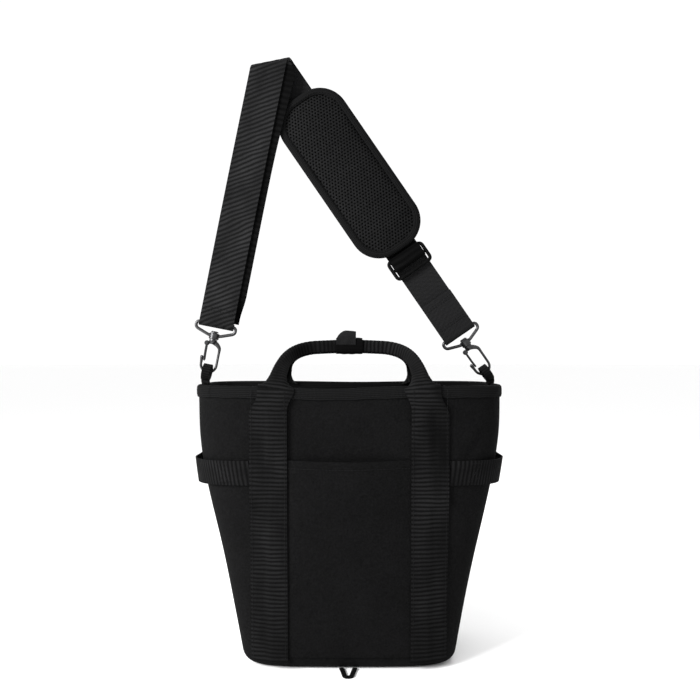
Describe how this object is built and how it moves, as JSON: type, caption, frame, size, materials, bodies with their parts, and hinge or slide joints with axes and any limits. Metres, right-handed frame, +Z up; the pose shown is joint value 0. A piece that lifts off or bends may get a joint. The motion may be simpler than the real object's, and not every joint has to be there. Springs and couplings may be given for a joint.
{
  "type": "garden tool bag",
  "caption": "Open-topped fabric tool bag with a front pocket, side loops, joined carry handles and a padded shoulder strap clipped to its ends.",
  "frame": {"origin": "middle of the base's flat underside", "axes": "+Z up, the front with the pocket faces -Y, +X to the right seen from the front"},
  "size_m": [0.3334, 0.1609, 0.6523],
  "materials": {
    "shell_fabric": "matte woven",
    "webbing": "ribbed weave with a soft sheen",
    "tape": "fine ribbed tape",
    "air_mesh": "open knitted mesh",
    "foam": "matte foam",
    "closure": "hook and loop pile",
    "board": "matte sheet",
    "hardware": "dark satin metal"
  },
  "bodies": {
    "bag": {"base_panel": "shell_fabric", "base_board": "board", "front_panel": "shell_fabric", "back_panel": "shell_fabric", "left_gusset": "shell_fabric", "right_gusset": "shell_fabric", "rim_binding": "tape", "front_pocket": "shell_fabric", "front_leg_left": "webbing", "front_leg_right": "webbing", "rear_leg_left": "webbing", "rear_leg_right": "webbing", "side_band_left": "webbing", "side_band_right": "webbing", "side_tab_left": "webbing", "side_tab_right": "webbing", "front_riser_left": "webbing", "front_riser_right": "webbing", "rear_riser_left": "webbing", "rear_riser_right": "webbing"},
    "base_loop": {"base_loop": "webbing"},
    "handles": {"front_grip": "webbing", "rear_grip": "webbing", "keeper_band": "tape", "keeper_loop_patch": "closure"},
    "flap": {"keeper_flap": "webbing", "keeper_hook_patch": "closure"},
    "strap": {"strap_main": "webbing", "strap_return": "webbing", "ring_left": "hardware", "ring_right": "hardware"},
    "slider": {"slider_frame": "hardware", "slider_bar": "hardware", "slider_tail": "webbing"},
    "pad": {"pad_mesh": "air_mesh", "pad_foam": "foam", "pad_backing": "shell_fabric", "pad_binding": "tape", "pad_loop_upper": "webbing", "pad_loop_lower": "webbing"},
    "hook_left": {"hook_left": "hardware", "gate_pin_left": "hardware"},
    "hook_right": {"hook_right": "hardware", "gate_pin_right": "hardware"},
    "gate_left": {"gate_left": "hardware"},
    "gate_right": {"gate_right": "hardware"}
  },
  "joints": [
    {"name": "handles_drop", "type": "slide", "parent": "bag", "child": "handles", "axis": [0, 0, 1], "range_m": [-0.025, 0], "deforming": ["front_riser_left", "front_riser_right", "rear_riser_left", "rear_riser_right"]},
    {"name": "flap_open", "type": "hinge", "parent": "handles", "child": "flap", "pos_m": [0, 0.0068, 0.3439], "axis": [-1, 0, 0], "range_deg": [0, 110]},
    {"name": "strap_swing", "type": "hinge", "parent": "bag", "child": "strap", "pos_m": [-0.15668, -0.00425, 0.30313], "axis": [0.9996, 0.0275, -0.0034], "range_deg": [-50, 50]},
    {"name": "slider_move", "type": "slide", "parent": "strap", "child": "slider", "axis": [-0.5653, 0, 0.8249], "range_m": [-0.03, 0]},
    {"name": "pad_move", "type": "slide", "parent": "strap", "child": "pad", "axis": [-0.5653, 0, 0.8249], "range_m": [0, 0.02]},
    {"name": "base_loop_lift", "type": "hinge", "parent": "bag", "child": "base_loop", "pos_m": [-0.001, -0.057, 0.0009], "axis": [-1, 0, 0], "range_deg": [0, 55]},
    {"name": "hook_left_turn", "type": "hinge", "parent": "strap", "child": "hook_left", "pos_m": [-0.14874, -0.00425, 0.34295], "axis": [0.1956, 0, 0.9807], "range_deg": [-12, 12]},
    {"name": "gate_left_open", "type": "hinge", "parent": "hook_left", "child": "gate_left", "pos_m": [-0.15658, -0.00425, 0.33534], "axis": [0, -1, 0], "range_deg": [0, 24], "stiffness_Nm_per_rad": 0.02, "springref_deg": -17.19},
    {"name": "hook_right_turn", "type": "hinge", "parent": "strap", "child": "hook_right", "pos_m": [0.12915, 0.00425, 0.33558], "axis": [-0.5653, 0, 0.8249], "range_deg": [-12, 12]},
    {"name": "gate_right_open", "type": "hinge", "parent": "hook_right", "child": "gate_right", "pos_m": [0.12912, 0.00425, 0.32465], "axis": [0, -1, 0], "range_deg": [0, 24], "stiffness_Nm_per_rad": 0.02, "springref_deg": -17.19}
  ]
}
